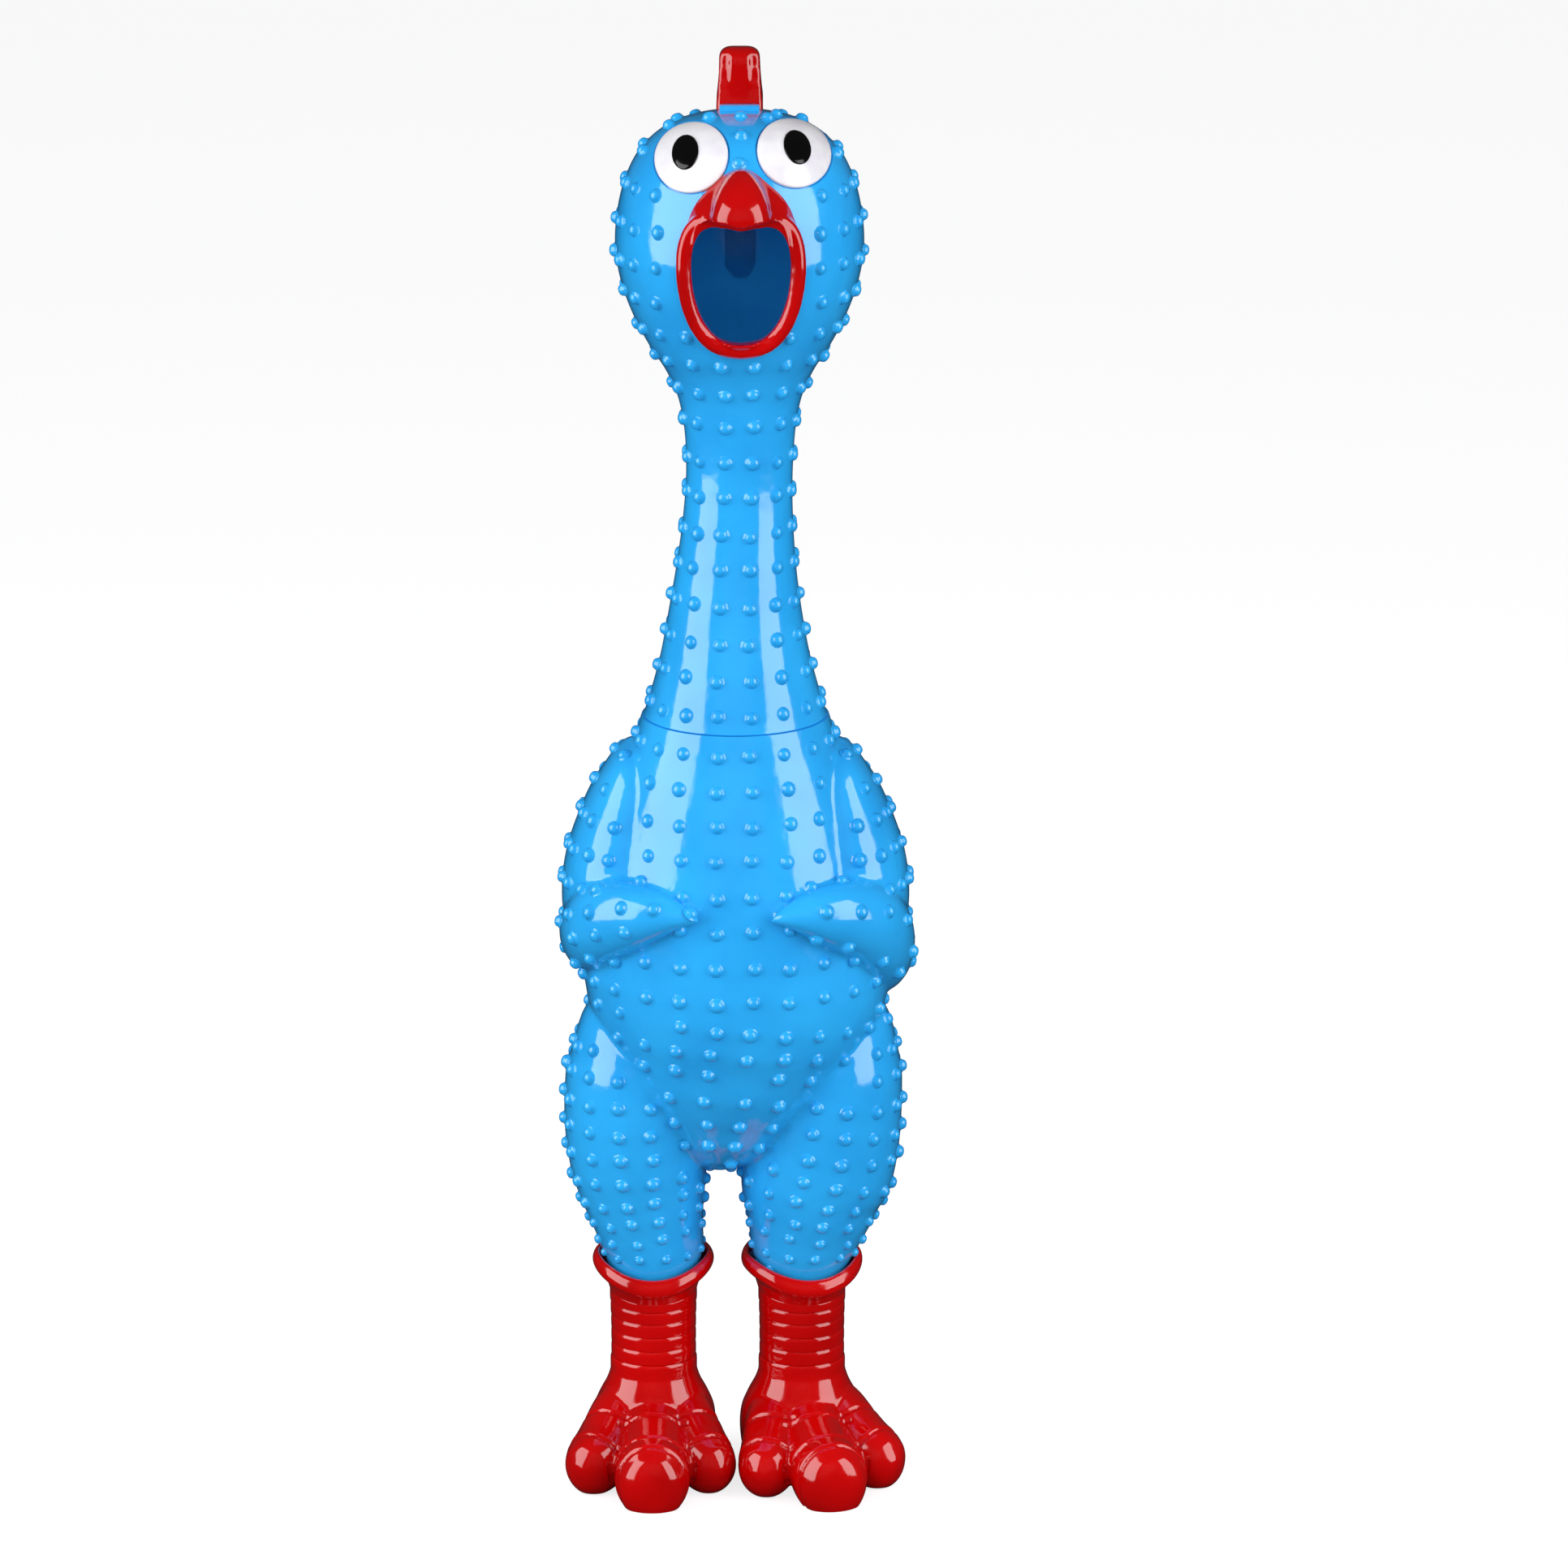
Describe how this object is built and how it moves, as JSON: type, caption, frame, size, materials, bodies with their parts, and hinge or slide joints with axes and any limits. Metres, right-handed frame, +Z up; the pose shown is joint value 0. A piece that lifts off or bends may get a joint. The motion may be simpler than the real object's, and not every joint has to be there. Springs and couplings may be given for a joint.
{
  "type": "rubber chicken",
  "caption": "Tall squeezable screaming chicken toy of hollow soft vinyl with a nubby skin, gaping mouth, comb, domed eyes and push-fit swivelling boots.",
  "frame": {"origin": "on the floor, under the middle of the chicken's box", "axes": "+Z up along the neck, the face and toes point to -Y, +X is the chicken's own left"},
  "size_m": [0.142, 0.1317, 0.5799],
  "materials": {
    "blue_vinyl": "glossy soft PVC, light blue",
    "red_vinyl": "glossy soft PVC, red",
    "white_plastic": "glossy white plastic",
    "black_plastic": "glossy black plastic",
    "whistle_plastic": "natural moulded plastic",
    "reed_film": "thin clear-grey polyester film"
  },
  "bodies": {
    "body": {"body_shell": "blue_vinyl", "whistle_housing": "whistle_plastic", "whistle_shallot": "whistle_plastic", "whistle_clamp": "whistle_plastic"},
    "head": {"head_shell": "blue_vinyl", "comb": "red_vinyl", "beak": "red_vinyl", "eye_left": "white_plastic", "eye_right": "white_plastic", "pupil_left": "black_plastic", "pupil_right": "black_plastic"},
    "boot_left": {"boot_left": "red_vinyl"},
    "boot_right": {"boot_right": "red_vinyl"},
    "reed": {"whistle_reed": "reed_film"}
  },
  "joints": [
    {"name": "neck_swivel", "type": "hinge", "parent": "body", "child": "head", "pos_m": [0, 0.002, 0.315], "axis": [0, 0, 1], "continuous": true},
    {"name": "boot_left_swivel", "type": "hinge", "parent": "body", "child": "boot_left", "pos_m": [0.0265, 0.002, 0.07], "axis": [0, 0, 1], "range_deg": [0, 110]},
    {"name": "boot_right_swivel", "type": "hinge", "parent": "body", "child": "boot_right", "pos_m": [-0.0335, 0.002, 0.07], "axis": [0, 0, 1], "range_deg": [-110, 0]},
    {"name": "reed_flap", "type": "hinge", "parent": "body", "child": "reed", "pos_m": [0, 0.0015, 0.321], "axis": [1, 0, 0], "range_deg": [-0.5, 6], "stiffness_Nm_per_rad": 0.002}
  ]
}
